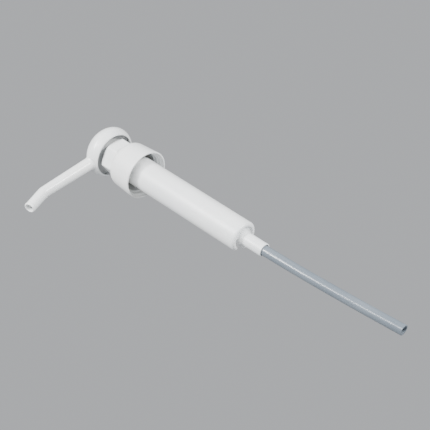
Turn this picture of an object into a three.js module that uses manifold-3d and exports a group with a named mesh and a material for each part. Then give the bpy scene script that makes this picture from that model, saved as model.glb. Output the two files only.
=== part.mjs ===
// Plunger pump for a condiment jug: domed head with a side spout, six-sided lock collar,
// screw closure, pump cylinder with its piston and two ball valves, and a dip tube.
// Millimetres. +Z points up along the pump's axis, and -Y is the way the spout points.
// The origin is on the axis at the neck's sealing face. The head is pressed right down.
import * as THREE from "three";
import { mergeVertices } from "three/addons/utils/BufferGeometryUtils.js";
import Module from "manifold-3d";

const wasm = await Module();
wasm.setup();

// ---- driving dimensions ----
const gap = 0.3; // between pieces that rest on each other
const roundSides = 36; // sides of a large round piece
const smallSides = 20; // sides of a small round piece

const boreR = 12.15; // pump cylinder
const bodyTopR = 13.4;
const bodyFootR = 13.2;
const neckTopZ = 12.5;
const flangeR = 17.4;
const flangeZ = [1.9, 4.1];
const floorZ = [-129, -126.5];
const footZ = -134.7;
const footRound = [2.2, 2.6];
const recessR = [6.9, 9.9]; // ring-shaped groove in the cylinder's foot
const recessDepth = 1.5;
const pocket = [172, 285]; // the groove is deep between these angles, in degrees
const drain = [178, 232]; // and the foot's rim is open between these
const seatR = 3; // the inlet ball's seat
const seatZ = -128.5;
const bossR = 8;
const bossZ = -125.5;
const ventZ = -9.5;
const ventR = 1.2;

const nippleR = [5.8, 5.7]; // root and end
const nippleEndZ = -156.5;
const nippleMouth = [4.8, 2.5]; // radius and depth of the wider mouth round the tube
const tubeR = 4.4;
const tubeBoreR = 3.35;
const tubeStopZ = -134;
const tubeEndZ = -287.6;
const tubeBow = [3.15, 4.2]; // sideways set of the tube's free end
const tubeFit = 0.1; // round the tube in its nipple

const gasketR = [13.75, 17.4];
const gasketT = 1.6;

const capRimR = 22.1;
const capRimZ = -19;
const capTopZ = 7;
const capCeilingZ = 4.4;
const capLipZ = -17; // inside, where the mouth starts to widen
const capHoleR = 13.75;
const capThreadRootR = 19.2;
const capThreadCrestR = 18.0;
const threadLead = 4.2;
const threadTurns = 1.5;

const hexR = 17; // collar, across corners / 2
const hexTurn = 3; // degrees
const hexChamfer = [2, 2.2]; // off the corners' radius and height
const collarZ = [7.3, 21.5];
const collarBoreR = 10.4;
const collarSkirtR = 11.85;
const collarSkirtZ = -7;
const collarFloorZ = [-3.5, -1];
const bushHoleR = 7.8;

const stemR = 5.5;
const stemBoreR = 3.9;
const stemZ = [-88.5, 27];
const slideClearance = 0.1; // a guide or lip round the stem

const domeR = 23.15; // head: an oblate dome cut off below its widest place
const domeHalfH = 14.7;
const domeZ = 29.2;
const domeWall = 1.9;
const rimZ = 22.2;
const rimInnerR = 19.2;
const hubR = 8.2;
const hubZ = 9.5;
const ribCount = 6;
const ribWidth = 1.4;
const ribOutline = [ // radius and height, its top inside the dome's wall
  [7.7, 29], [21.2, 29], [21.6, 30], [21.8, 31], [20.5, 34.4], [17.5, 37.8], [13.5, 40.2],
  [7.7, 42],
];
const plateR = [8.5, 20.3]; // closes the dome's underside
const plateZ = [27.4, 28.6];
const spoutZ = 30.1;
const spoutReach = 73.6; // axis to bend
const spoutTip = 21.6; // bend to mouth
const spoutBend = 18.5; // degrees downwards
const spoutBendR = 12; // of the bend's centre line
const spoutR = [5.95, 4.95, 4.75]; // root, bend, mouth
const spoutLip = [4.95, 2]; // radius and length of the bead round the mouth
const spoutRoot = [7.6, 5.6, 7]; // flare where it leaves the dome: radii, length
const spoutBoreR = 3.2;

const lugCount = 3;
const lugWidth = 40; // degrees
const hubLugR = 10.05;
const hubLugZ = [10, 12.4];
const collarLugR = 8.6;
const collarLugZ = [13, 16.2];

const nutZ = [-92, -80];
const nutR = [5.85, 7.6];
const carrierZ = [-90.6, -76.6];
const carrierR = [7.95, 9.2];
const cupZ = [-87.7, -77.4];
const retainerZ = [-76.3, -73.6];
const headSealR = [5.55, 7.3];
const headSealZ = [7.6, 9.1];

const springWireR = 0.8;
const springR = 9.6;
const springTurns = 8;
const springZ = [-121.3, -91.8]; // wire centre at the lowest and highest coil

const inletBallR = 4.2;
const inletBallZ = -125.2;
const outletBallR = 3.1;
const outletBallZ = -88.45;

// ---- finishes ----
function plastic(color, roughness) {
  return new THREE.MeshStandardMaterial({ color, roughness, metalness: 0 });
}
const whitePlastic = plastic(0xe9ecec, 0.38);
const softPlastic = plastic(0xdfe3e4, 0.5);
const sealRubber = plastic(0xc9cccd, 0.7);
const tubePlastic = new THREE.MeshStandardMaterial({
  color: 0xa9b5bd, roughness: 0.25, metalness: 0, transparent: true, opacity: 0.6,
});
const steel = new THREE.MeshStandardMaterial({ color: 0xb8bbbd, roughness: 0.3, metalness: 1 });

// ---- solids ----
function toSolid(geometry) {
  const bare = geometry.clone();
  bare.deleteAttribute("normal");
  bare.deleteAttribute("uv");
  const merged = mergeVertices(bare, 1e-4);
  const index = merged.index.array;
  const kept = [];
  for (let i = 0; i < index.length; i += 3) {
    const [a, b, c] = [index[i], index[i + 1], index[i + 2]];
    if (a !== b && b !== c && c !== a) kept.push(a, b, c);
  }
  const mesh = new wasm.Mesh({
    numProp: 3,
    vertProperties: new Float32Array(merged.attributes.position.array),
    triVerts: new Uint32Array(kept),
  });
  return new wasm.Manifold(mesh);
}

function toGeometry(solid) {
  const mesh = solid.getMesh();
  const geometry = new THREE.BufferGeometry();
  geometry.setAttribute("position", new THREE.BufferAttribute(mesh.vertProperties, 3));
  geometry.setIndex(new THREE.BufferAttribute(mesh.triVerts, 1));
  return geometry;
}

// A turned piece from [radius, height] points: a closed ring section, or one from axis to axis.
function turned(points, sides = roundSides) {
  const profile = points.map(([r, z]) => new THREE.Vector2(r, z));
  const onAxis = points[0][0] === 0;
  if (!onAxis) profile.push(profile[0].clone());
  return new THREE.LatheGeometry(profile, sides).rotateX(Math.PI / 2);
}

function tube(r, R, z0, z1, sides = roundSides) {
  return turned([[r, z0], [R, z0], [R, z1], [r, z1]], sides);
}

function rod(R, z0, z1, sides = smallSides) {
  return turned([[0, z0], [R, z0], [R, z1], [0, z1]], sides);
}

// Points of an arc in the section plane, from one angle to another, in degrees.
function arc(r, z, radiusR, radiusZ, from, to, steps) {
  const points = [];
  for (let i = 0; i <= steps; i += 1) {
    const angle = THREE.MathUtils.degToRad(from + ((to - from) * i) / steps);
    points.push([r + radiusR * Math.cos(angle), z + radiusZ * Math.sin(angle)]);
  }
  return points;
}

// A block from radius r0 to r1 along the direction given in degrees.
function radialBlock(r0, r1, width, z0, z1, degrees) {
  const block = new THREE.BoxGeometry(r1 - r0, width, z1 - z0);
  block.translate((r0 + r1) / 2, 0, (z0 + z1) / 2);
  return block.rotateZ(THREE.MathUtils.degToRad(degrees));
}

// A curved block between two radii, centred on the direction given in degrees.
function arcBlock(r0, r1, width, z0, z1, degrees) {
  const half = THREE.MathUtils.degToRad(width / 2);
  const shape = new THREE.Shape();
  shape.absarc(0, 0, r1, -half, half, false);
  shape.absarc(0, 0, r0, half, -half, true);
  const curveSegments = Math.ceil(width / 10);
  const block = new THREE.ExtrudeGeometry(shape, { depth: z1 - z0, bevelEnabled: false, curveSegments });
  return block.translate(0, 0, z0).rotateZ(THREE.MathUtils.degToRad(degrees));
}

function aroundAxis(count, make) {
  return Array.from({ length: count }, (_, i) => make((360 * i) / count));
}

function joined(first, others) {
  return others.reduce((solid, other) => solid.add(toSolid(other)), toSolid(first));
}

function cut(solid, tools) {
  return tools.reduce((rest, tool) => rest.subtract(toSolid(tool)), solid);
}

const pump = new THREE.Group();

function piece(name, geometry, material) {
  const mesh = new THREE.Mesh(geometry, material);
  mesh.name = name;
  pump.add(mesh);
}

// ---- pump cylinder, standing still ----
function pumpBody() {
  const holeR = tubeR + tubeFit;
  const [mouthR, mouthDepth] = nippleMouth;
  const shell = turned([
    [mouthR, nippleEndZ],
    [nippleR[1] - 0.3, nippleEndZ],
    [nippleR[1], nippleEndZ + 0.3],
    [nippleR[0], footZ],
    [recessR[0], floorZ[0]],
    [recessR[1], floorZ[0]],
    [recessR[1], footZ],
    ...arc(bodyFootR - footRound[0], footZ + footRound[1], ...footRound, -90, 0, 4),
    [bodyTopR, flangeZ[0]],
    [flangeR, flangeZ[0]],
    [flangeR, flangeZ[1]],
    [bodyTopR, flangeZ[1]],
    [bodyTopR, neckTopZ],
    [boreR, neckTopZ],
    [boreR, floorZ[1]],
    [bossR, floorZ[1]],
    [bossR, bossZ],
    [seatR + bossZ - seatZ, bossZ],
    [seatR, seatZ],
    [seatR, tubeStopZ],
    [holeR, tubeStopZ],
    [holeR, nippleEndZ + mouthDepth + mouthR - holeR],
    [mouthR, nippleEndZ + mouthDepth],
  ]);
  const lap = 0.4;
  const solidWidth = 360 + pocket[0] - pocket[1];
  const fill = arcBlock(recessR[0] - lap, recessR[1] + 2 * lap, solidWidth, footZ + recessDepth,
    floorZ[0] + lap, pocket[1] + solidWidth / 2);
  const notch = arcBlock(recessR[1] - lap, bodyFootR + 1, drain[1] - drain[0], footZ - 1, floorZ[0],
    (drain[0] + drain[1]) / 2);
  const vent = new THREE.CylinderGeometry(ventR, ventR, 4, 16).rotateZ(Math.PI / 2);
  vent.translate(bodyTopR - 0.5, 0, ventZ);
  return toGeometry(cut(joined(shell, [fill]), [vent, notch]));
}

class Helix extends THREE.Curve {
  constructor(radius, z0, lead, turns) {
    super();
    Object.assign(this, { radius, z0, lead, turns });
  }

  getPoint(t, target = new THREE.Vector3()) {
    const angle = 2 * Math.PI * this.turns * t;
    const z = this.z0 + this.lead * this.turns * t;
    return target.set(this.radius * Math.cos(angle), this.radius * Math.sin(angle), z);
  }
}

function bar(curve, radius, sides, steps) {
  const section = new THREE.Shape();
  section.absarc(0, 0, radius, 0, 2 * Math.PI, false);
  const options = { extrudePath: curve, steps, curveSegments: sides / 2, bevelEnabled: false };
  return new THREE.ExtrudeGeometry(section, options);
}

function closure() {
  const mouthR = capRimR - 1.4;
  const shell = turned([
    [capHoleR, capCeilingZ],
    [capThreadRootR, capCeilingZ],
    [capThreadRootR, capLipZ + 1],
    [mouthR, capLipZ],
    [mouthR, capRimZ],
    [capRimR - 0.2, capRimZ],
    [capRimR, capRimZ + 0.3],
    [capRimR - 0.7, -8],
    [capRimR - 1.3, 0.8],
    ...arc(16.9, 1.2, 3.8, 5.8, 8, 90, 6),
    [capHoleR, capTopZ],
  ]);
  const path = new Helix(capThreadRootR + 0.1, capRimZ + 5, threadLead, threadTurns);
  const thread = bar(path, capThreadRootR + 0.1 - capThreadCrestR, 6, 20 * threadTurns);
  return toGeometry(joined(shell, [thread]));
}

function lockCollar() {
  const hexagon = new THREE.CylinderGeometry(hexR, hexR, collarZ[1] - collarZ[0], 6);
  hexagon.rotateX(Math.PI / 2).rotateZ(THREE.MathUtils.degToRad(hexTurn));
  hexagon.translate(0, 0, (collarZ[0] + collarZ[1]) / 2);
  const cone = turned([
    [0, collarZ[0] - 1], [hexR + 1, collarZ[0] - 1], [hexR + 1, collarZ[1] - hexChamfer[1]],
    [hexR - hexChamfer[0], collarZ[1]], [0, collarZ[1]],
  ]);
  const ceilingZ = neckTopZ + gap;
  const outer = toSolid(hexagon).intersect(toSolid(cone));
  const hollow = [
    rod(capHoleR, collarZ[0] - 1, ceilingZ, roundSides),
    rod(collarBoreR, collarZ[0] - 1, collarZ[1] + 1, roundSides),
  ];
  const guide = turned([
    [collarBoreR, collarSkirtZ], [collarSkirtR, collarSkirtZ], [collarSkirtR, ceilingZ + 1],
    [collarBoreR, ceilingZ + 1], [collarBoreR, collarFloorZ[1]], [bushHoleR, collarFloorZ[1]],
    [bushHoleR, collarFloorZ[0]], [collarBoreR, collarFloorZ[0]],
  ]);
  const lugs = aroundAxis(lugCount, (turn) => (
    arcBlock(collarLugR, collarBoreR + 0.5, lugWidth, collarLugZ[0], collarLugZ[1], turn + 60)
  ));
  const shell = cut(outer, hollow).add(toSolid(guide));
  return toGeometry(lugs.reduce((solid, lug) => solid.add(toSolid(lug)), shell));
}

function stemBush() {
  const inner = stemR + slideClearance;
  const top = collarFloorZ[1] + gap;
  return turned([
    [inner, collarFloorZ[0] - 0.3], [bushHoleR - gap, collarFloorZ[0] - 0.3], [bushHoleR - gap, top],
    [9.8, top], [9.8, top + 1.5], [inner, top + 1.5],
  ]);
}

function stemWiper() {
  const inner = stemR + slideClearance;
  const top = collarFloorZ[0] - 0.6;
  return turned([
    [inner, top - 2.6], [6.2, top - 2.8], [7, top - 1.4], [10.1, top - 1.4], [10.1, top], [7, top],
    [inner, top - 1.6],
  ]);
}

function inletCage() {
  const cage = turned([
    [8.3, -126.2], [11.85, -126.2], [11.85, -123.6], [7.4, -123.6], [6.4, -122.6], [6.4, -115],
    [2, -115], [2, -116.6], [4.75, -116.6], [4.75, -125.2], [8.3, -125.2],
  ], smallSides);
  const windows = aroundAxis(4, (turn) => radialBlock(3.5, 8, 3.2, -122.2, -117.6, turn));
  return toGeometry(cut(toSolid(cage), windows));
}

function dipTube() {
  class Bow extends THREE.Curve {
    getPoint(t, target = new THREE.Vector3()) {
      const z = tubeStopZ - gap + (tubeEndZ - tubeStopZ + gap) * t;
      const bend = Math.max(0, (nippleEndZ - z) / (nippleEndZ - tubeEndZ)) ** 1.5;
      return target.set(tubeBow[0] * bend, tubeBow[1] * bend, z);
    }
  }
  const section = new THREE.Shape();
  section.absarc(0, 0, tubeR, 0, 2 * Math.PI, false);
  const hole = new THREE.Path();
  hole.absarc(0, 0, tubeBoreR, 0, 2 * Math.PI, true);
  section.holes.push(hole);
  const options = { extrudePath: new Bow(), steps: 12, curveSegments: 8, bevelEnabled: false };
  return new THREE.ExtrudeGeometry(section, options);
}

// ---- plunger ----
function pistonNut() {
  const seatR = 2.2;
  const seatZ = -91;
  const innerFloorZ = -88.9;
  return turned([
    [seatR, nutZ[0]], [nutR[1] - 0.6, nutZ[0]], [nutR[1], nutZ[0] + 0.6], [nutR[1], nutZ[1]],
    [nutR[0], nutZ[1]], [nutR[0], innerFloorZ], [seatR + innerFloorZ - seatZ, innerFloorZ],
    [seatR, seatZ],
  ]);
}

function pistonCarrier() {
  const flangeTop = carrierZ[0] + 2.4;
  return turned([
    [carrierR[0], carrierZ[0]], [11.3, carrierZ[0]], [11.3, flangeTop], [carrierR[1], flangeTop],
    [carrierR[1], carrierZ[1]], [carrierR[0], carrierZ[1]],
  ]);
}

function pistonCup() {
  const inner = carrierR[1] + gap;
  const lip = boreR - slideClearance;
  const [low, high] = cupZ;
  const middle = (low + high) / 2;
  return turned([
    [inner, low], [10.5, low], [10.9, low + 2.6], [11.4, low + 0.2], [lip, low], [lip, low + 1],
    [11.3, middle], [lip, high - 1], [lip, high], [11.4, high - 0.2], [10.9, high - 2.6],
    [10.5, high], [inner, high],
  ]);
}

function pistonRetainer() {
  const inner = stemR + gap;
  return turned([
    [inner, retainerZ[0]], [10.6, retainerZ[0]], [11.2, retainerZ[0] + 0.6],
    [11.2, retainerZ[1] - 0.6], [10.6, retainerZ[1]], [inner, retainerZ[1]],
  ]);
}

function springCoil() {
  const lead = (springZ[1] - springZ[0]) / springTurns;
  return bar(new Helix(springR, springZ[0], lead, springTurns), springWireR, 8, 18 * springTurns);
}

function outletBallStop() {
  const z = [-81.5, -79.5];
  const ring = tube(2.7, stemBoreR - gap, z[0], z[1], smallSides);
  const bars = [0, 90].map((turn) => (
    radialBlock(-3, 3, 1.2, z[0], z[1], turn)
  ));
  return toGeometry(joined(ring, bars));
}

// ---- head and spout ----
// Lays a turned piece along the spout: its +Z end points the way given, in the YZ plane.
function alongSpout(geometry, y, z, degrees) {
  return geometry.rotateX(Math.PI / 2 + THREE.MathUtils.degToRad(degrees)).translate(0, y, z);
}

function taper(r0, r1, length, sides = smallSides) {
  return turned([[0, 0], [r0, 0], [r1, length], [0, length]], sides);
}

class SpoutBend extends THREE.Curve {
  constructor(radius, start) {
    super();
    Object.assign(this, { radius, start });
  }

  getPoint(t, target = new THREE.Vector3()) {
    const angle = THREE.MathUtils.degToRad(spoutBend) * t;
    const y = this.start - this.radius * Math.sin(angle);
    return target.set(0, y, spoutZ - this.radius * (1 - Math.cos(angle)));
  }
}

// The three stretches of the spout, and how far it goes on past its mouth.
function spoutParts(radii, over) {
  const lap = 0.05; // the stretches run this far into each other
  const half = spoutBendR * Math.tan(THREE.MathUtils.degToRad(spoutBend / 2));
  const start = half - spoutReach;
  const bendEnd = new SpoutBend(spoutBendR, start).getPoint(1);
  return [
    alongSpout(taper(radii[0], radii[1], spoutReach - half), 0, spoutZ, 0),
    bar(new SpoutBend(spoutBendR, start + lap), radii[1], smallSides, 5),
    alongSpout(taper(radii[1], radii[2], spoutTip - half + over), bendEnd.y + 2 * lap, bendEnd.z,
      spoutBend),
  ];
}

function spoutBead() {
  const [radius, length] = spoutLip;
  const reach = spoutTip - length;
  const down = THREE.MathUtils.degToRad(spoutBend);
  const bead = turned([
    [0, 0], [spoutR[2], 0], [radius, length * 0.4], [radius, length * 0.75], [radius - 0.35, length],
    [0, length],
  ], smallSides);
  const y = -spoutReach - reach * Math.cos(down);
  return alongSpout(bead, y, spoutZ - reach * Math.sin(down), spoutBend);
}

function headRib(turn) {
  const shape = new THREE.Shape(ribOutline.map(([r, z]) => new THREE.Vector2(r, z)));
  const rib = new THREE.ExtrudeGeometry(shape, { depth: ribWidth, bevelEnabled: false });
  return rib.rotateX(Math.PI / 2).translate(0, ribWidth / 2, 0)
    .rotateZ(THREE.MathUtils.degToRad(turn + 30));
}

// The plate has room round the spout's channel, which crosses the dome's hollow.
function headPlate() {
  const room = alongSpout(taper(spoutR[0] + gap, spoutR[0] + gap, domeR), 0, spoutZ, 0);
  const rootRoom = alongSpout(taper(spoutRoot[0] + gap, spoutRoot[0] + gap, 5), -18, spoutZ, 0);
  return toGeometry(cut(toSolid(tube(...plateR, ...plateZ)), [room, rootRoom]));
}

function actuatorHead() {
  const cutAngle = THREE.MathUtils.radToDeg(Math.asin((rimZ - domeZ) / domeHalfH));
  const innerH = domeHalfH - domeWall;
  const dome = turned([
    ...arc(0, domeZ, domeR - domeWall, innerH, 90, 0, 8),
    [rimInnerR, rimZ],
    ...arc(0, domeZ, domeR, domeHalfH, cutAngle, 90, 16),
  ].map(([r, z]) => [r < 1e-6 ? 0 : r, z]));
  const hub = rod(hubR, hubZ, domeZ + innerH + 0.5, roundSides);
  const ribs = aroundAxis(ribCount, headRib);
  const lugs = aroundAxis(lugCount, (turn) => (
    arcBlock(hubR - 0.5, hubLugR, lugWidth, hubLugZ[0], hubLugZ[1], turn)
  ));
  const root = alongSpout(taper(...spoutRoot), -18.5, spoutZ, 0);
  const spout = [root, ...spoutParts(spoutR, 0), spoutBead()];
  const outside = joined(dome, [hub, ...ribs, ...lugs, ...spout]);
  const bores = [
    rod(stemR + gap, hubZ - 1, stemZ[1] + gap, smallSides),
    rod(stemBoreR, hubZ, spoutZ, smallSides),
    ...spoutParts([spoutBoreR, spoutBoreR, spoutBoreR], 2),
  ];
  return toGeometry(cut(outside, bores));
}

// ---- assembly ----
piece("pump_body", pumpBody(), whitePlastic);
piece("neck_gasket", tube(gasketR[0], gasketR[1], 0, gasketT), sealRubber);
piece("closure", closure(), whitePlastic);
piece("lock_collar", lockCollar(), whitePlastic);
piece("stem_bush", stemBush(), softPlastic);
piece("stem_wiper", stemWiper(), sealRubber);
piece("inlet_cage", inletCage(), softPlastic);
piece("inlet_ball", new THREE.SphereGeometry(inletBallR, 16, 10).translate(0, 0, inletBallZ), steel);
piece("spring_seat", tube(8, 11.8, -123.3, -122.4), softPlastic);
piece("return_spring", springCoil(), steel);
piece("dip_tube", dipTube(), tubePlastic);
piece("piston_nut", pistonNut(), softPlastic);
piece("piston_carrier", pistonCarrier(), softPlastic);
piece("piston_cup", pistonCup(), sealRubber);
piece("piston_retainer", pistonRetainer(), softPlastic);
piece("stem", tube(stemBoreR, stemR, stemZ[0], stemZ[1], smallSides), whitePlastic);
piece("outlet_ball_stop", outletBallStop(), softPlastic);
piece("head_seal", tube(...headSealR, ...headSealZ, smallSides), sealRubber);
piece("head_plate", headPlate(), whitePlastic);
piece("outlet_ball", new THREE.SphereGeometry(outletBallR, 16, 10).translate(0, 0, outletBallZ), steel);
piece("actuator_head", actuatorHead(), whitePlastic);

export default pump;
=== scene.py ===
import math

import bmesh
import bpy
from mathutils import Matrix, Vector


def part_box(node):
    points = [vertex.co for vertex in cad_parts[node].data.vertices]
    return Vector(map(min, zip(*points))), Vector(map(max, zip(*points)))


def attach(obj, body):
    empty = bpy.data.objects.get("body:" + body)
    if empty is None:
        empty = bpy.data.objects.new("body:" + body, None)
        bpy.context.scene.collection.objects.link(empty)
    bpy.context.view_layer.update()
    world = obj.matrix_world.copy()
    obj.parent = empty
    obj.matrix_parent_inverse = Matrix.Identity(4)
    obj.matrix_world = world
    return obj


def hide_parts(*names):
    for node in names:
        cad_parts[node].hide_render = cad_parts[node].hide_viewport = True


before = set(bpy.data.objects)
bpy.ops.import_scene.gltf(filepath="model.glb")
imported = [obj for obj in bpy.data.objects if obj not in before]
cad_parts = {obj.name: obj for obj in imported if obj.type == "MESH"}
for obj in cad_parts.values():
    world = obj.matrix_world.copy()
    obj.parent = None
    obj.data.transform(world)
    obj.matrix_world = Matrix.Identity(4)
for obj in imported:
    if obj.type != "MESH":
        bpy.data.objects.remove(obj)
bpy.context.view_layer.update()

mm = 0.001
print("frame loaded:", len(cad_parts), "nodes")


# finishes

def newFinish(name, colour, roughness):
    finish = bpy.data.materials.new(name)
    finish.use_nodes = True
    shader = finish.node_tree.nodes["Principled BSDF"]
    shader.inputs["Base Color"].default_value = (*colour, 1)
    shader.inputs["Roughness"].default_value = roughness
    return finish, finish.node_tree, shader


# noise on Object coordinates, stretched by a Mapping node: scale is in features per metre
def addNoise(tree, scale, detail=3.0, stretch=(1, 1, 1), roughness=0.5):
    place = tree.nodes.new("ShaderNodeTexCoord")
    mapping = tree.nodes.new("ShaderNodeMapping")
    mapping.inputs["Scale"].default_value = stretch
    noise = tree.nodes.new("ShaderNodeTexNoise")
    noise.inputs["Scale"].default_value = scale
    noise.inputs["Detail"].default_value = detail
    noise.inputs["Roughness"].default_value = roughness
    tree.links.new(place.outputs["Object"], mapping.inputs["Vector"])
    tree.links.new(mapping.outputs["Vector"], noise.inputs["Vector"])
    return noise.outputs["Fac"]


def addRange(tree, value, fromMin, fromMax, toMin=0.0, toMax=1.0):
    spread = tree.nodes.new("ShaderNodeMapRange")
    for socket, amount in zip(("From Min", "From Max", "To Min", "To Max"),
                              (fromMin, fromMax, toMin, toMax)):
        spread.inputs[socket].default_value = amount
    tree.links.new(value, spread.inputs["Value"])
    return spread.outputs["Result"]


def addSum(tree, first, second, operation="ADD"):
    total = tree.nodes.new("ShaderNodeMath")
    total.operation = operation
    tree.links.new(first, total.inputs[0])
    if isinstance(second, (int, float)):
        total.inputs[1].default_value = second
    else:
        tree.links.new(second, total.inputs[1])
    return total.outputs["Value"]


def addColourMix(tree, factor, first, second):
    mix = tree.nodes.new("ShaderNodeMix")
    mix.data_type = "RGBA"
    tree.links.new(factor, mix.inputs["Factor"])
    for socket, colour in (("A", first), ("B", second)):
        target = next(s for s in mix.inputs if s.name == socket and s.type == "RGBA")
        if isinstance(colour, tuple):
            target.default_value = (*colour, 1)
        else:
            tree.links.new(colour, target)
    return next(s for s in mix.outputs if s.type == "RGBA")


def addBump(tree, height, strength, distance, under=None):
    bump = tree.nodes.new("ShaderNodeBump")
    bump.inputs["Strength"].default_value = strength
    bump.inputs["Distance"].default_value = distance
    tree.links.new(height, bump.inputs["Height"])
    if under is not None:
        tree.links.new(under, bump.inputs["Normal"])
    return bump.outputs["Normal"]


# the convex edges, where handling has dulled the surface
def addWornEdges(tree, low=0.53, high=0.62):
    geometry = tree.nodes.new("ShaderNodeNewGeometry")
    return addRange(tree, geometry.outputs["Pointiness"], low, high)


# a moulding's parting line: a thin band where one Object coordinate is nearly zero
def addPartingLine(tree, axis, halfWidth=0.00016):
    place = tree.nodes.new("ShaderNodeTexCoord")
    split = tree.nodes.new("ShaderNodeSeparateXYZ")
    tree.links.new(place.outputs["Object"], split.inputs["Vector"])
    distance = addSum(tree, split.outputs[axis], 0.0, "ABSOLUTE")
    return addRange(tree, distance, 0.0, halfWidth, 1.0, 0.0)


def mouldedPlastic(name, look):
    finish, tree, shader = newFinish(name, look["colour"], look["gloss"])
    shader.inputs["IOR"].default_value = 1.49
    shader.inputs["Subsurface Weight"].default_value = look["depth"]
    shader.inputs["Subsurface Radius"].default_value = (1.0, 0.95, 0.9)
    shader.inputs["Subsurface Scale"].default_value = 0.0016
    mottle = addRange(tree, addNoise(tree, 62, 4), 0.35, 0.65)
    ageing = addRange(tree, addNoise(tree, 17, 2), 0.42, 0.7, 0.0, 0.55)
    edges = addWornEdges(tree)
    flow = addRange(tree, addNoise(tree, 150, 3, look["flow"]), 0.4, 0.62)
    tone = addColourMix(tree, mottle, look["colour"], look["tint"])
    tone = addColourMix(tree, ageing, tone, look["aged"])
    tone = addColourMix(tree, addSum(tree, flow, 0.18, "MULTIPLY"), tone, look["pale"])
    tone = addColourMix(tree, addSum(tree, edges, 0.6, "MULTIPLY"), tone, look["pale"])
    tree.links.new(tone, shader.inputs["Base Color"])
    scuffs = addRange(tree, addNoise(tree, 900, 2, (1, 0.06, 0.25), 0.7), 0.6, 0.74, 0.0, 0.12)
    gloss = look["gloss"]
    sheen = addRange(tree, addNoise(tree, 240, 3), 0.3, 0.7, gloss - 0.035, gloss + 0.05)
    rough = addSum(tree, addSum(tree, sheen, scuffs), addSum(tree, edges, 0.08, "MULTIPLY"))
    tree.links.new(rough, shader.inputs["Roughness"])
    normal = addBump(tree, addNoise(tree, 95, 2), 0.16, 0.00022)
    normal = addBump(tree, addNoise(tree, 2600, 3), look["grain"], 0.00003, normal)
    if look["parting"]:
        normal = addBump(tree, addPartingLine(tree, look["parting"]), 0.35, 0.00008, normal)
    tree.links.new(normal, shader.inputs["Normal"])
    return finish


def tubePlastic(name, look):
    finish, tree, shader = newFinish(name, look["colour"], look["gloss"])
    shader.inputs["IOR"].default_value = 1.5
    shader.inputs["Transmission Weight"].default_value = look["clear"]
    drawn = addRange(tree, addNoise(tree, 1400, 3, (1, 1, 0.012), 0.6), 0.3, 0.7)
    cloud = addRange(tree, addNoise(tree, 70, 4, (1, 1, 0.35)), 0.35, 0.65)
    tone = addColourMix(tree, drawn, look["colour"], look["pale"])
    tone = addColourMix(tree, addSum(tree, cloud, 0.5, "MULTIPLY"), tone, look["deep"])
    tree.links.new(tone, shader.inputs["Base Color"])
    rough = addSum(tree, addRange(tree, addNoise(tree, 500, 3), 0.3, 0.7, 0.0, 0.08), look["gloss"])
    tree.links.new(rough, shader.inputs["Roughness"])
    normal = addBump(tree, drawn, 0.05, 0.00003)
    normal = addBump(tree, addNoise(tree, 110, 2, (1, 1, 0.3)), 0.08, 0.0002, normal)
    tree.links.new(normal, shader.inputs["Normal"])
    return finish


def sealRubber(name, look):
    finish, tree, shader = newFinish(name, look["colour"], 0.7)
    bloom = addRange(tree, addNoise(tree, 130, 5), 0.35, 0.68)
    tone = addColourMix(tree, bloom, look["colour"], look["bloom"])
    tree.links.new(tone, shader.inputs["Base Color"])
    tree.links.new(addRange(tree, addNoise(tree, 420, 4), 0.3, 0.7, 0.58, 0.82),
                   shader.inputs["Roughness"])
    normal = addBump(tree, addNoise(tree, 1900, 4), 0.3, 0.00006)
    tree.links.new(normal, shader.inputs["Normal"])
    return finish


def springSteel(name, look):
    finish, tree, shader = newFinish(name, look["colour"], 0.25)
    shader.inputs["Metallic"].default_value = 1.0
    tarnish = addRange(tree, addNoise(tree, 260, 4), 0.45, 0.75, 0.0, 0.7)
    tone = addColourMix(tree, tarnish, look["colour"], look["tarnish"])
    tree.links.new(tone, shader.inputs["Base Color"])
    tree.links.new(addRange(tree, addNoise(tree, 800, 4, look["flow"]), 0.3, 0.7, 0.16, 0.4),
                   shader.inputs["Roughness"])
    normal = addBump(tree, addNoise(tree, 2400, 3, look["flow"]), 0.12, 0.00003)
    tree.links.new(normal, shader.inputs["Normal"])
    return finish


whitePlastic = {
    "colour": (0.76, 0.785, 0.795), "tint": (0.80, 0.815, 0.82), "aged": (0.79, 0.785, 0.755),
    "pale": (0.86, 0.87, 0.875), "gloss": 0.33, "depth": 0.10, "grain": 0.2,
    "flow": (1, 1, 0.1), "parting": None,
}
headPlastic = mouldedPlastic("headPlastic", {
    **whitePlastic, "gloss": 0.23, "parting": "X", "flow": (1, 0.1, 1)})
collarPlastic = mouldedPlastic("collarPlastic", {**whitePlastic, "gloss": 0.34})
closurePlastic = mouldedPlastic("closurePlastic", {**whitePlastic, "gloss": 0.36})
cylinderPlastic = mouldedPlastic("cylinderPlastic", {**whitePlastic, "gloss": 0.34, "parting": "Y"})
# the plate under the dome is painted mid-grey: painted shade standing in for the shadowed gap between the
# dome's rim and the collar
platePaintedShade = mouldedPlastic("platePaintedShade", {
    **whitePlastic, "colour": (0.47, 0.485, 0.49), "tint": (0.52, 0.53, 0.535),
    "aged": (0.49, 0.485, 0.465), "gloss": 0.42})
stemPlastic = mouldedPlastic("stemPlastic", {**whitePlastic, "gloss": 0.24})
innerPlastic = mouldedPlastic("innerPlastic", {
    "colour": (0.70, 0.72, 0.72), "tint": (0.75, 0.765, 0.76), "aged": (0.73, 0.72, 0.68),
    "pale": (0.82, 0.83, 0.83), "gloss": 0.4, "depth": 0.25, "grain": 0.3,
    "flow": (1, 1, 0.2), "parting": None,
})
drawnTube = tubePlastic("drawnTube", {
    "colour": (0.17, 0.20, 0.235), "pale": (0.21, 0.245, 0.28), "deep": (0.135, 0.165, 0.20),
    "gloss": 0.19, "clear": 0.2,
})
pistonSeal = sealRubber("pistonSeal", {
    "colour": (0.52, 0.53, 0.53), "bloom": (0.62, 0.63, 0.62)})
gasketSeal = sealRubber("gasketSeal", {
    "colour": (0.23, 0.215, 0.185), "bloom": (0.30, 0.285, 0.25)})
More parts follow.
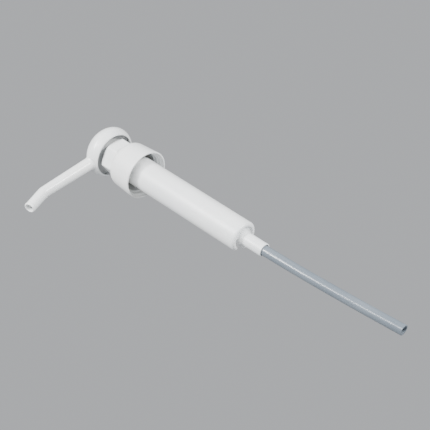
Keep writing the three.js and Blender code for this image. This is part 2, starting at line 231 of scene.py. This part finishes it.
ballSteel = springSteel("ballSteel", {
    "colour": (0.62, 0.63, 0.64), "tarnish": (0.45, 0.45, 0.44), "flow": (1, 1, 1)})
wireSteel = springSteel("wireSteel", {
    "colour": (0.56, 0.57, 0.58), "tarnish": (0.38, 0.38, 0.37), "flow": (1, 1, 0.3)})
print("finishes made")


# shaping helpers, all in millimetres

# Turns a section round the Z axis. A point is (radius, height) or (radius, height, rounding).
def turnSection(bm, section, sides=96, angle=360, lift=0, start=0, closed=True):
    shell = bmesh.new()
    points = [shell.verts.new((p[0] * mm, 0, p[1] * mm)) for p in section]
    for first, second in zip(points, points[1:]):
        shell.edges.new((first, second))
    if closed:
        shell.edges.new((points[-1], points[0]))
    for point, place in zip(points, section):
        if len(place) == 3:
            bmesh.ops.bevel(shell, geom=[point], offset=place[2] * mm, offset_type="OFFSET",
                            affect="VERTICES", segments=3, profile=0.5, material=-1)
    whole = angle == 360 and lift == 0
    bmesh.ops.spin(shell, geom=shell.verts[:] + shell.edges[:], cent=(0, 0, 0), axis=(0, 0, 1),
                   dvec=(0, 0, lift * mm / sides), angle=math.radians(angle), steps=sides,
                   use_merge=whole)
    bmesh.ops.remove_doubles(shell, verts=shell.verts, dist=0.5e-6)
    if not whole:
        bmesh.ops.holes_fill(shell, edges=[e for e in shell.edges if e.is_boundary], sides=0)
    bmesh.ops.rotate(shell, verts=shell.verts, cent=(0, 0, 0),
                     matrix=Matrix.Rotation(math.radians(start), 3, "Z"))
    addShell(bm, shell)


def addShell(bm, shell):
    bmesh.ops.recalc_face_normals(shell, faces=shell.faces)
    part = bpy.data.meshes.new("shell")
    shell.to_mesh(part)
    shell.free()
    bm.from_mesh(part)
    bpy.data.meshes.remove(part)


# Points on an ellipse's quarter or less, for a section.
def ovalPoints(centreZ, radius, height, fromAngle, toAngle, steps):
    angles = [math.radians(fromAngle + (toAngle - fromAngle) * k / steps) for k in range(steps + 1)]
    return [(max(radius * math.cos(a), 0), centreZ + height * math.sin(a)) for a in angles]


# Skins a row of rings, each one a function from an angle to a place: one ring is extruded on
# from place to place, and a closed skin is bridged back to its first ring.
def skinRings(bm, rings, sides, closed=False):
    shell = bmesh.new()
    ring = bmesh.ops.create_circle(shell, cap_ends=False, radius=1, segments=sides)["verts"]
    angles = {vert: math.atan2(vert.co.y, vert.co.x) for vert in ring}
    for vert in ring:
        vert.co = rings[0](angles[vert]) * mm
    firstLoop = loop = shell.edges[:]
    for place in rings[1:]:
        made = bmesh.ops.extrude_edge_only(shell, edges=loop)["geom"]
        ring = [g for g in made if isinstance(g, bmesh.types.BMVert)]
        neighbours = {v: [e.other_vert(v) for e in v.link_edges] for v in ring}
        angles = {v: next(angles[n] for n in neighbours[v] if n in angles) for v in ring}
        for vert in ring:
            vert.co = place(angles[vert]) * mm
        loop = list({e for v in ring for e in v.link_edges if e.other_vert(v) in angles})
    if closed:
        bmesh.ops.bridge_loops(shell, edges=loop + firstLoop)
    addShell(bm, shell)


def finishPiece(name, bm, body, finish, nodes, smoothBelow=38):
    mesh = bpy.data.meshes.new(name)
    bm.to_mesh(mesh)
    bm.free()
    mesh.shade_smooth()
    mesh.set_sharp_from_angle(angle=math.radians(smoothBelow))
    mesh.materials.append(finish)
    piece = bpy.data.objects.new(name, mesh)
    bpy.context.scene.collection.objects.link(piece)
    weights = piece.modifiers.new("faceWeights", "WEIGHTED_NORMAL")
    weights.keep_sharp = True
    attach(piece, body)
    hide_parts(*nodes)
    print("made", name, len(mesh.polygons), "faces")


# Lowest and highest height of a CAD node, in millimetres.
def heightsOf(node):
    low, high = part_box(node)
    return low.z / mm, high.z / mm


# push head with its spout

head = {
    "domeRadius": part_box("actuator_head")[1].x / mm,
    "domeHeight": 14.7,  # of the oblate dome's upper half
    "domeWall": 1.9,
    "rimDrop": 7.0,  # rim below the dome's widest place
    "rimInnerRadius": 19.2,
    "hubRadius": 8.2,
    "stemHoleRadius": 5.8,
    "stemHoleTop": 27.3,
    "ribCount": 6,
    "ribWidth": 1.4,
    "ribTurn": 30,  # degrees
    "lugCount": 3,
    "lugWidth": 40,  # degrees
    "lugReach": (7.9, 10.05),  # radii at the root and the crest
    "lugHeights": (0.5, 2.9),  # above the hub's foot
}
hubFoot, domeTop = heightsOf("actuator_head")
domeMiddle = domeTop - head["domeHeight"]
domeRim = domeMiddle - head["rimDrop"]

spout = {
    "height": domeMiddle + 0.9,
    "rootRadius": 5.95,
    "bendRadius": 4.95,
    "mouthRadius": 4.75,
    "lipRadius": 4.95,
    "boreRadius": 3.2,
    "reach": 73.6,  # axis to the bend's corner
    "tip": 21.6,  # bend's corner to the mouth
    "bend": 18.5,  # degrees down
    "curve": 12,  # radius of the bend's centre line
    "fillet": 2.9,
    "filletAt": 25,  # distance from the axis whose radius the fillet meets
    "straightFrom": 30,  # first ring clear of the fillet
    "beadBack": 3.2,  # last ring before the mouth's bead
    "sunkRoot": 0.955,  # the skin starts inside the dome's wall, as a share of its reach
    "sunkSkin": 0.998,
}


def domeSurface(x, z):
    inside = 1 - (x / head["domeRadius"]) ** 2 - ((z - domeMiddle) / head["domeHeight"]) ** 2
    return head["domeRadius"] * math.sqrt(max(inside, 0))


# Where a ball of the fillet's radius touches both the dome and the spout, seen along one angle.
def filletPlace(angle, share, sunk=1.0):
    side, rise = math.cos(angle), math.sin(angle)
    rootRadius = spoutRadius(spout["filletAt"])
    size = spout["fillet"]

    def reachAt(out):
        return domeSurface(out * side, spout["height"] + out * rise)

    low, high = rootRadius, rootRadius + size * 1.3
    for _ in range(30):
        middle = (low + high) / 2
        slope = (reachAt(middle + 0.01) - reachAt(middle - 0.01)) / 0.02
        length = math.hypot(1, slope)
        if middle - size * slope / length < rootRadius + size:
            low = middle
        else:
            high = middle
    touchAngle = math.atan2(-1 / length, slope / length)
    centreReach = reachAt(low) + size / length
    turn = touchAngle + (-math.pi - touchAngle) * share
    out = rootRadius + size + size * math.cos(turn)
    reach = centreReach + size * math.sin(turn)
    place = Vector((out * side, -reach, spout["height"] + out * rise))
    centre = Vector((0, 0, domeMiddle))
    return centre + (place - centre) * sunk


# Where the bore meets the inside of the dome's wall.
def boreRootPlace(angle, sunk):
    x = spout["boreRadius"] * math.cos(angle)
    z = spout["height"] + spout["boreRadius"] * math.sin(angle)
    centre = Vector((0, 0, domeMiddle))
    return centre + (Vector((x, -domeSurface(x, z), z)) - centre) * sunk


halfBend = spout["curve"] * math.tan(math.radians(spout["bend"] / 2))
bendStart = spout["reach"] - halfBend
bendLength = spout["curve"] * math.radians(spout["bend"])
spoutLength = bendStart + bendLength + spout["tip"] - halfBend


# Centre and downward angle of the spout's middle line, a distance along it from the axis.
def spoutLine(along):
    if along <= bendStart:
        return Vector((0, -along, spout["height"])), 0.0
    turn = min((along - bendStart) / spout["curve"], math.radians(spout["bend"]))
    corner = Vector((0, -bendStart - spout["curve"] * math.sin(turn),
                     spout["height"] - spout["curve"] * (1 - math.cos(turn))))
    rest = max(along - bendStart - bendLength, 0)
    return corner + Vector((0, -math.cos(turn), -math.sin(turn))) * rest, turn


def spoutRadius(along):
    if along <= bendStart:
        return spout["rootRadius"] + (spout["bendRadius"] - spout["rootRadius"]) * along / bendStart
    share = (along - bendStart) / (spoutLength - bendStart)
    return spout["bendRadius"] + (spout["mouthRadius"] - spout["bendRadius"]) * share


def spoutRing(along, radius):
    centre, turn = spoutLine(along)

    def place(angle):
        rise = radius * math.sin(angle)
        return centre + Vector((radius * math.cos(angle), -math.sin(turn) * rise,
                                math.cos(turn) * rise))
    return place


def pushHead():
    bm = bmesh.new()
    wallHeight = head["domeHeight"] - head["domeWall"]
    wallRadius = head["domeRadius"] - head["domeWall"]
    hubAngle = math.degrees(math.acos(head["hubRadius"] / wallRadius))
    rimAngle = -math.degrees(math.asin(head["rimDrop"] / head["domeHeight"]))
    rimRadius = head["domeRadius"] * math.cos(math.radians(rimAngle))
    hubCeiling = domeMiddle + wallHeight * math.sin(math.radians(hubAngle))
    section = [
        *ovalPoints(domeMiddle, head["domeRadius"], head["domeHeight"], 90, rimAngle + 1.4, 40),
        (rimRadius, domeRim, 0.3),
        (head["rimInnerRadius"], domeRim, 0.2),
        *ovalPoints(domeMiddle, wallRadius, wallHeight, 0, hubAngle - 5, 18),
        (head["hubRadius"], hubCeiling, 0.8),
        (head["hubRadius"], hubFoot, 0.5),
        (head["stemHoleRadius"], hubFoot, 0.4),
        (head["stemHoleRadius"], head["stemHoleTop"]),
        (0, head["stemHoleTop"]),
    ]
    turnSection(bm, section, sides=160, closed=False)
    # ribs that tie the hub to the dome, their tops inside the wall
    ribOutline = [(7.7, 29), (21.2, 29), (21.6, 30), (21.8, 31), (20.5, 34.4), (17.5, 37.8),
                  (13.5, 40.2), (7.7, 42)]
    for k in range(head["ribCount"]):
        rib = bmesh.new()
        outline = [rib.verts.new((r * mm, -head["ribWidth"] / 2 * mm, z * mm))
                   for r, z in ribOutline]
        side = rib.faces.new(outline)
        wall = bmesh.ops.extrude_face_region(rib, geom=[side])["geom"]
        bmesh.ops.translate(rib, vec=(0, head["ribWidth"] * mm, 0),
                            verts=[g for g in wall if isinstance(g, bmesh.types.BMVert)])
        bmesh.ops.rotate(rib, verts=rib.verts, cent=(0, 0, 0),
                         matrix=Matrix.Rotation(
                             math.radians(head["ribTurn"] + 360 * k / head["ribCount"]), 3, "Z"))
        addShell(bm, rib)
    lugRoot, lugCrest = head["lugReach"]
    lugFoot, lugTop = head["lugHeights"]
    lugSection = [(lugRoot, hubFoot + lugFoot), (lugCrest, hubFoot + lugFoot, 0.35),
                  (lugCrest, hubFoot + lugTop, 0.35), (lugRoot, hubFoot + lugTop)]
    for k in range(head["lugCount"]):
        turnSection(bm, lugSection, sides=14, angle=head["lugWidth"],
                    start=360 * k / head["lugCount"] - head["lugWidth"] / 2)
    rings = [lambda a: boreRootPlace(a, spout["sunkRoot"]),
             lambda a: filletPlace(a, 0, spout["sunkRoot"]),
             lambda a: filletPlace(a, 0, spout["sunkSkin"])]
    rings += [lambda a, s=k / 8: filletPlace(a, s) for k in range(9)]
    # the outside, out to the bead round the mouth
    start = spout["straightFrom"]
    stations = [start + (bendStart - start) * k / 8 for k in range(8)]
    stations += [bendStart + bendLength * k / 10 for k in range(10)]
    lastReach = spoutLength - spout["beadBack"] - bendStart - bendLength
    stations += [bendStart + bendLength + lastReach * k / 4 for k in range(5)]
    rings += [spoutRing(s, spoutRadius(s)) for s in stations]
    lip, bore = spout["lipRadius"], spout["boreRadius"]
    bead = [(2.8, spout["mouthRadius"] + 0.02), (2.2, lip - 0.12), (1.7, lip - 0.03), (1.25, lip),
            (0.85, lip - 0.06), (0.5, lip - 0.2), (0.24, lip - 0.4), (0.07, lip - 0.66),
            (0.0, lip - 0.95), (0.04, bore + 0.42), (0.2, bore + 0.2), (0.5, bore + 0.06),
            (1.1, bore)]
    rings += [spoutRing(spoutLength - back, radius) for back, radius in bead]
    rings += [spoutRing(s, bore) for s in reversed(stations)]
    skinRings(bm, rings, 64, closed=True)
    finishPiece("pushHead", bm, "head", headPlastic, ["actuator_head"])


pushHead()


# six-sided lock collar

collar = {
    "cornerRadius": 17.0,
    "cornerTurn": 3,  # degrees
    "cornerRounding": 0.85,
    "hexHeight": 14.3,  # its foot above the guide skirt's
    "boreRadius": 10.4,
    "skirtRadius": 11.85,
    "hollowRadius": 13.75,
    "hollowTop": 12.8,
    "bushHoleRadius": 7.8,
    "lugRadius": 8.6,
    "lugHeights": (13.0, 16.2),
    "lugCount": 3,
    "lugWidth": 40,  # degrees
    "lugTurn": 60,
}


def lockCollar():
    bm = bmesh.new()
    foot, top = heightsOf("lock_collar")
    hexFoot = foot + collar["hexHeight"]
    hexagon = bmesh.new()
    corners = bmesh.ops.create_circle(hexagon, cap_ends=False, radius=collar["cornerRadius"] * mm,
                                      segments=6)["verts"]
    bmesh.ops.bevel(hexagon, geom=corners, offset=collar["cornerRounding"] * mm,
                    offset_type="OFFSET", affect="VERTICES", segments=5, profile=0.5, material=-1)
    bmesh.ops.subdivide_edges(hexagon, edges=[e for e in hexagon.edges if e.calc_length() > 5 * mm],
                              cuts=14)
    bmesh.ops.rotate(hexagon, verts=hexagon.verts, cent=(0, 0, 0),
                     matrix=Matrix.Rotation(math.radians(collar["cornerTurn"]), 3, "Z"))
    outline = bpy.data.meshes.new("hexOutline")
    hexagon.to_mesh(outline)
    hexagon.free()
    shell = bmesh.new()

    def loopOf(verts):
        members = set(verts)
        return [e for e in shell.edges if members.issuperset(e.verts)]

    def hexLoop(height, inset, coneRadius):
        count = len(shell.verts)
        shell.from_mesh(outline)
        shell.verts.ensure_lookup_table()
        made = shell.verts[count:]
        for vert in made:
            vert.co *= 1 - inset / (collar["cornerRadius"] * 0.866)
            if vert.co.length > coneRadius * mm:
                vert.co *= coneRadius * mm / vert.co.length
            vert.co.z = height * mm
        return loopOf(made)

    def roundLoop(radius, height, sides):
        ring = bmesh.ops.create_circle(shell, cap_ends=False, radius=radius * mm,
                                       segments=sides)["verts"]
        bmesh.ops.translate(shell, vec=(0, 0, height * mm), verts=ring)
        return loopOf(ring)

    # the corners are turned down to a cone near the top, and every edge is eased
    whole = 99  # a cone too wide to touch the corners
    outside = [(hexFoot, 0.45, whole), (hexFoot + 0.12, 0.14, whole), (hexFoot + 0.45, 0, whole),
               (top - 4, 0, whole), (top - 2.0, 0, 17.5), (top - 1.65, 0, 17.0),
               (top - 1.3, 0, 16.6), (top - 0.95, 0, 16.2), (top - 0.6, 0, 15.8), (top - 0.32, 0.04, 15.45),
               (top - 0.12, 0.15, 15.1), (top - 0.02, 0.32, 14.8), (top, 0.55, 14.5)]
    loops = [hexLoop(*ring) for ring in outside]
    sides = len(loops[0])
    bore, skirt = collar["boreRadius"], collar["skirtRadius"]
    inside = [(bore + 0.5, top), (bore + 0.15, top - 0.15), (bore, top - 0.5), (bore, foot + 6.3),
              (bore - 0.3, foot + 6), (collar["bushHoleRadius"] + 0.2, foot + 6),
              (collar["bushHoleRadius"], foot + 5.8), (collar["bushHoleRadius"], foot + 3.7),
              (collar["bushHoleRadius"] + 0.2, foot + 3.5), (bore, foot + 3.5), (bore, foot + 0.3),
              (bore + 0.3, foot), (skirt - 0.3, foot), (skirt, foot + 0.3),
              (skirt, collar["hollowTop"]), (collar["hollowRadius"], collar["hollowTop"]),
              (collar["hollowRadius"], hexFoot + 0.25), (collar["hollowRadius"] + 0.2, hexFoot)]
    loops += [roundLoop(radius, height, sides) for radius, height in inside]
    for first, second in zip(loops, loops[1:] + loops[:1]):
        bmesh.ops.bridge_loops(shell, edges=first + second)
    addShell(bm, shell)
    bpy.data.meshes.remove(outline)
    low, high = collar["lugHeights"]
    lugSection = [(collar["lugRadius"], low, 0.3), (bore + 0.6, low), (bore + 0.6, high),
                  (collar["lugRadius"], high, 0.3)]
    for k in range(collar["lugCount"]):
        turnSection(bm, lugSection, sides=14, angle=collar["lugWidth"],
                    start=collar["lugTurn"] + 360 * k / collar["lugCount"] - collar["lugWidth"] / 2)
    finishPiece("hexCollar", bm, "pump", collarPlastic, ["lock_collar"],
                smoothBelow=32)


lockCollar()


# screw closure

closure = {
    "rimRadius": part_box("closure")[1].x / mm,
    "wallRadius": 20.8,  # just below the shoulder
    "holeRadius": 13.75,
    "threadRoot": 19.2,
    "threadCrest": 18.0,
    "lead": 4.2,
    "turns": 1.5,
    "threadStart": 5,  # above the rim
    "roof": 2.6,
}


def screwClosure():
    bm = bmesh.new()
    rim, top = heightsOf("closure")
    rimRadius, root = closure["rimRadius"], closure["threadRoot"]
    section = [
        (closure["holeRadius"], top - closure["roof"], 0.3),
        (root, top - closure["roof"], 0.5),
        (root, rim + 3, 0.4),
        (rimRadius - 1.4, rim + 2, 0.3),
        (rimRadius - 1.4, rim, 0.25),
        (rimRadius, rim, 0.45),
        (rimRadius - 0.28, rim + 5),
        (rimRadius - 0.7, rim + 11),
        (closure["wallRadius"], rim + 19.4),
        *[(closure["wallRadius"] - 3.9 + r, z) for r, z in ovalPoints(1.2, 3.8, 5.8, 4, 88, 16)],
        (closure["holeRadius"], top, 0.3),
    ]
    turnSection(bm, section, sides=144)
    crest = closure["threadCrest"]
    thread = [(root + 0.3, -1.35), (root - 0.2, -1.1), (crest + 0.25, -0.62), (crest, -0.25),
              (crest, 0.25), (crest + 0.25, 0.62), (root - 0.2, 1.1), (root + 0.3, 1.35)]
    steps = int(96 * closure["turns"])
    turnSection(bm, [(r, rim + closure["threadStart"] + z) for r, z in thread], sides=steps,
                angle=360 * closure["turns"], lift=closure["lead"] * closure["turns"])
    finishPiece("screwClosure", bm, "closure", closurePlastic, ["closure"])


screwClosure()


# pump cylinder

cylinder = {
    "boreRadius": 12.15,
    "topRadius": 13.4,
    "footRadius": 13.2,
    "footRounding": (2.2, 2.6),
    "flangeRadius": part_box("pump_body")[1].x / mm,
    "flange": (10.6, 8.4),  # its faces below the top
    "recess": (6.9, 9.9),  # inner and outer radii of the foot's groove
    "grooveDepth": 1.5,
    "pocketDepth": 5.7,
    "pocket": (172, 285),  # the groove is deep between these angles
    "drain": (182, 232),  # and the rim is open between these
    "nippleLength": 21.8,
    "nippleRadius": 5.72,
    "cageRadius": 8,
    "seatRadii": (6, 3),  # wide and narrow ends of the inlet ball's seat
    "tubeHole": 4.5,
    "mouth": (4.8, 2.5),  # radius and depth
}


def pumpCylinder():
    bm = bmesh.new()
    foot, top = heightsOf("pump_body")
    base = foot + cylinder["nippleLength"]
    floor = base + cylinder["pocketDepth"]
    hole = cylinder["tubeHole"]
    mouth, mouthDepth = cylinder["mouth"]
    inner, outer = cylinder["recess"]
    outside = cylinder["footRadius"]
    flangeFoot, flangeTop = cylinder["flange"]
    cage = cylinder["cageRadius"]
    seatWide, seatNarrow = cylinder["seatRadii"]
    section = [
        (mouth, foot, 0.2),
        (cylinder["nippleRadius"], foot, 0.4),
        (cylinder["nippleRadius"] + 0.06, base - 2.4, 1.2),
        (inner - 0.5, base + 1.2, 1.2),
        (inner - 0.1, floor, 0.5),
        (outside, floor),
        (cylinder["topRadius"], top - flangeFoot, 0.35),
        (cylinder["flangeRadius"], top - flangeFoot, 0.3),
        (cylinder["flangeRadius"], top - flangeTop, 0.3),
        (cylinder["topRadius"], top - flangeTop, 0.3),
        (cylinder["topRadius"], top, 0.3),
        (cylinder["boreRadius"], top, 0.3),
        (cylinder["boreRadius"], floor + 2.5, 0.5),
        (cage, floor + 2.5, 0.3),
        (cage, floor + 3.5, 0.3),
        (seatWide, floor + 3.5),
        (seatNarrow, floor + 0.5, 0.3),
        (seatNarrow, floor - 5),
        (hole, floor - 5, 0.1),
        (hole, foot + mouthDepth + 0.5),
        (mouth, foot + mouthDepth, 0.15),
    ]
    turnSection(bm, section, sides=128)
    # the rim round the foot, open at the drain notch, and the groove's shallow stretch
    inward, rise = cylinder["footRounding"]
    rim = [(outside, floor), (outer, floor), (outer, base + 0.3), (outer + 0.12, base + 0.08),
           (outer + 0.35, base)]
    rim += [(outside - inward + r, z) for r, z in ovalPoints(base + rise, inward, rise, -86, 0, 12)]
    grooveFloor = base + cylinder["grooveDepth"]
    groove = [(inner - 0.8, floor), (inner - 0.8, grooveFloor), (inner + 0.3, grooveFloor),
              (outer - 0.5, grooveFloor), (outer + 0.3, grooveFloor - 0.5), (outer + 0.3, floor)]
    for part, (start, end) in ((rim, cylinder["drain"]), (groove, cylinder["pocket"])):
        turnSection(bm, part, sides=112, angle=360 - end + start, start=end)
    finishPiece("pumpCylinder", bm, "pump", cylinderPlastic, ["pump_body"])


pumpCylinder()


# dip tube

tube = {"radius": 4.4, "boreRadius": 3.35, "straight": 22.7, "sides": 48, "stations": 26}


def dipTube():
    bm = bmesh.new()
    low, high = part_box("dip_tube")
    foot, top = low.z / mm, high.z / mm
    drift = Vector((high.x / mm - tube["radius"], high.y / mm - tube["radius"], 0))
    bowTop = top - tube["straight"]

    def tubeRing(height, radius):
        share = max(0, (bowTop - height) / (bowTop - foot))
        centre = drift * share ** 1.5 + Vector((0, 0, height))
        return lambda angle: centre + Vector((radius * math.cos(angle),
                                              radius * math.sin(angle), 0))

    outer, inner = tube["radius"], tube["boreRadius"]
    heights = [foot + 0.5 + (top - 0.5 - foot - 0.5) * k / tube["stations"]
               for k in range(tube["stations"] + 1)]
    rings = [tubeRing(foot, inner + 0.12), tubeRing(foot, outer - 0.16),
             tubeRing(foot + 0.06, outer - 0.05), tubeRing(foot + 0.2, outer)]
    rings += [tubeRing(z, outer) for z in heights]
    rings += [tubeRing(top, outer - 0.1), tubeRing(top, inner + 0.1)]
    rings += [tubeRing(z, inner) for z in reversed(heights)]
    rings += [tubeRing(foot + 0.12, inner)]
    skinRings(bm, rings, tube["sides"], closed=True)
    finishPiece("dipTube", bm, "pump", drawnTube, ["dip_tube"])


dipTube()


# the smaller turned pieces

def turnedPiece(name, node, body, finish, section, sides=72):
    bm = bmesh.new()
    turnSection(bm, section, sides=sides)
    finishPiece(name, bm, body, finish, [node])


# The section of a plain ring as high as a CAD node.
def flatRing(node, inner, outer, rounding):
    low, high = heightsOf(node)
    return [(inner, low, rounding), (outer, low, rounding), (outer, high, rounding),
            (inner, high, rounding)]


turnedPiece("gasketRing", "neck_gasket", "pump", gasketSeal,
            flatRing("neck_gasket", 13.75, 17.4, 0.35), 128)
turnedPiece("stemTube", "stem", "head", stemPlastic,
            flatRing("stem", 3.9, 5.5, 0.3), 96)
turnedPiece("hubSeal", "head_seal", "head", pistonSeal,
            flatRing("head_seal", 5.55, 7.3, 0.45))
# a plate under the dome, in the grey finish that paints shade into the gap inside the rim
low, high = heightsOf("head_plate")
turnedPiece("headPlate", "head_plate", "head", platePaintedShade, [
    (8.5, low, 0.3), (20.55, low, 0.25), (20.55, high, 0.3), (8.5, high, 0.3)], 144)
turnedPiece("springSeat", "spring_seat", "pump", innerPlastic,
            flatRing("spring_seat", 8.0, 11.8, 0.25))

low, high = heightsOf("stem_bush")
turnedPiece("stemBush", "stem_bush", "pump", innerPlastic, [
    (5.6, low, 0.3), (7.5, low, 0.25), (7.5, high - 1.5), (9.8, high - 1.5, 0.25), (9.8, high, 0.3),
    (5.6, high, 0.3)])

low, high = heightsOf("stem_wiper")
turnedPiece("stemWiper", "stem_wiper", "pump", pistonSeal, [
    (5.6, low + 0.2, 0.15), (6.2, low, 0.2), (7, low + 1.4, 0.5), (10.1, low + 1.4, 0.3),
    (10.1, high, 0.3), (7, high, 0.3), (5.6, high - 1.6, 0.15)])

low, high = heightsOf("piston_nut")
turnedPiece("pistonNut", "piston_nut", "head", innerPlastic, [
    (2.2, low, 0.2), (7.6, low, 0.7), (7.6, high, 0.3), (5.85, high, 0.3), (5.85, low + 3.1, 0.3),
    (4.3, low + 3.1, 0.2), (2.2, low + 1, 0.2)])

low, high = heightsOf("piston_carrier")
turnedPiece("pistonCarrier", "piston_carrier", "piston", innerPlastic, [
    (7.95, low, 0.3), (11.3, low, 0.35), (11.3, low + 2.4, 0.35), (9.2, low + 2.4, 0.3),
    (9.2, high, 0.3), (7.95, high, 0.3)])

low, high = heightsOf("piston_cup")
middle = (low + high) / 2
turnedPiece("pistonCup", "piston_cup", "piston", pistonSeal, [
    (9.5, low, 0.2), (10.5, low, 0.3), (10.9, low + 2.6, 0.2), (11.4, low + 0.2, 0.1),
    (12.05, low, 0.1), (12.05, low + 1, 0.3), (11.3, middle, 1.2), (12.05, high - 1, 0.3),
    (12.05, high, 0.1), (11.4, high - 0.2, 0.1), (10.9, high - 2.6, 0.2), (10.5, high, 0.3),
    (9.5, high, 0.2)], 96)

low, high = heightsOf("piston_retainer")
turnedPiece("pistonRetainer", "piston_retainer", "piston", innerPlastic, [
    (5.8, low, 0.25), (11.2, low, 0.7), (11.2, high, 0.7), (5.8, high, 0.25)])


def valveBall(name, node, body):
    low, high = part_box(node)
    bm = bmesh.new()
    bmesh.ops.create_uvsphere(bm, u_segments=48, v_segments=28, radius=(high.z - low.z) / 2)
    bmesh.ops.translate(bm, vec=(low + high) / 2, verts=bm.verts)
    finishPiece(name, bm, body, ballSteel, [node], smoothBelow=60)


valveBall("inletBall", "inlet_ball", "inlet_ball")
valveBall("outletBall", "outlet_ball", "outlet_ball")

# pieces whose CAD shape is kept
for node, finish in (("inlet_cage", innerPlastic), ("outlet_ball_stop", innerPlastic),
                     ("return_spring", wireSteel)):
    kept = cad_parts[node]
    kept.data.materials.clear()
    kept.data.materials.append(finish)
print("small pieces made")


# floor, light and camera

stage = {"floorHeight": -0.95, "floorSize": 7.0, "floorColour": (0.74, 0.745, 0.75),
         "skyColour": (0.80, 0.82, 0.85), "skyStrength": 0.62,
         "lightAim": (0, -0.02, -0.10)}


def paleFloor():
    bm = bmesh.new()
    bmesh.ops.create_grid(bm, x_segments=8, y_segments=8, size=stage["floorSize"] / 2)
    bmesh.ops.translate(bm, vec=(0, 0, stage["floorHeight"]), verts=bm.verts)
    mesh = bpy.data.meshes.new("paleFloor")
    bm.to_mesh(mesh)
    bm.free()
    mesh.materials.append(newFinish("floorPaint", stage["floorColour"], 0.8)[0])
    floor = bpy.data.objects.new("paleFloor", mesh)
    bpy.context.scene.collection.objects.link(floor)


def softSky():
    sky = bpy.data.worlds.new("softSky")
    sky.use_nodes = True
    background = sky.node_tree.nodes["Background"]
    background.inputs["Color"].default_value = (*stage["skyColour"], 1)
    background.inputs["Strength"].default_value = stage["skyStrength"]
    bpy.context.scene.world = sky


camera = {
    "place": (0.5613, -0.4162, -0.5449),
    "right": (-0.0437, 0.7000, -0.7127),
    "up": (0.7360, 0.5050, 0.4507),
    "lens": 85,
    "sensorWidth": 36,
    "clip": (0.01, 20),
}


def lowCamera():
    right = Vector(camera["right"]).normalized()
    back = right.cross(Vector(camera["up"])).normalized()
    up = back.cross(right)
    data = bpy.data.cameras.new("viewCamera")
    data.lens = camera["lens"]
    data.sensor_width = camera["sensorWidth"]
    data.clip_start, data.clip_end = camera["clip"]
    eye = bpy.data.objects.new("viewCamera", data)
    turned = Matrix((right, up, back)).transposed().to_4x4()
    eye.matrix_world = Matrix.Translation(camera["place"]) @ turned
    bpy.context.scene.collection.objects.link(eye)
    bpy.context.scene.camera = eye
    return right, up, back


# each light: sideways, up and towards the camera, then distance, width, height and power
lights = {
    "mainBox": (-0.36, 0.36, 0.86, 1.05, 0.50, 0.50, 8.0),
    "frontFill": (-0.10, 0.05, 0.99, 1.5, 1.2, 1.2, 4.5),
    "leftBox": (-0.77, 0.42, 0.47, 0.9, 0.13, 0.42, 10.0),
    "tubeStrip": (-0.70, 0.375, 0.60, 0.84, 0.44, 0.045, 4.5),
    "rightBox": (0.67, 0.47, 0.57, 0.86, 0.28, 0.13, 10.5),
}


def softLights(right, up, back):
    middle = Vector(stage["lightAim"])
    for name, (side, rise, near, distance, width, height, power) in lights.items():
        data = bpy.data.lights.new(name, "AREA")
        data.shape = "RECTANGLE"
        data.size, data.size_y = width, height
        data.energy = power
        lamp = bpy.data.objects.new(name, data)
        way = (right * side + up * rise + back * near).normalized()
        lamp.location = middle + way * distance
        across = up.cross(way).normalized()
        lamp.rotation_euler = Matrix((across, way.cross(across), way)).transposed().to_euler()
        bpy.context.scene.collection.objects.link(lamp)


paleFloor()
softSky()
softLights(*lowCamera())
print("stage, lights and camera set")
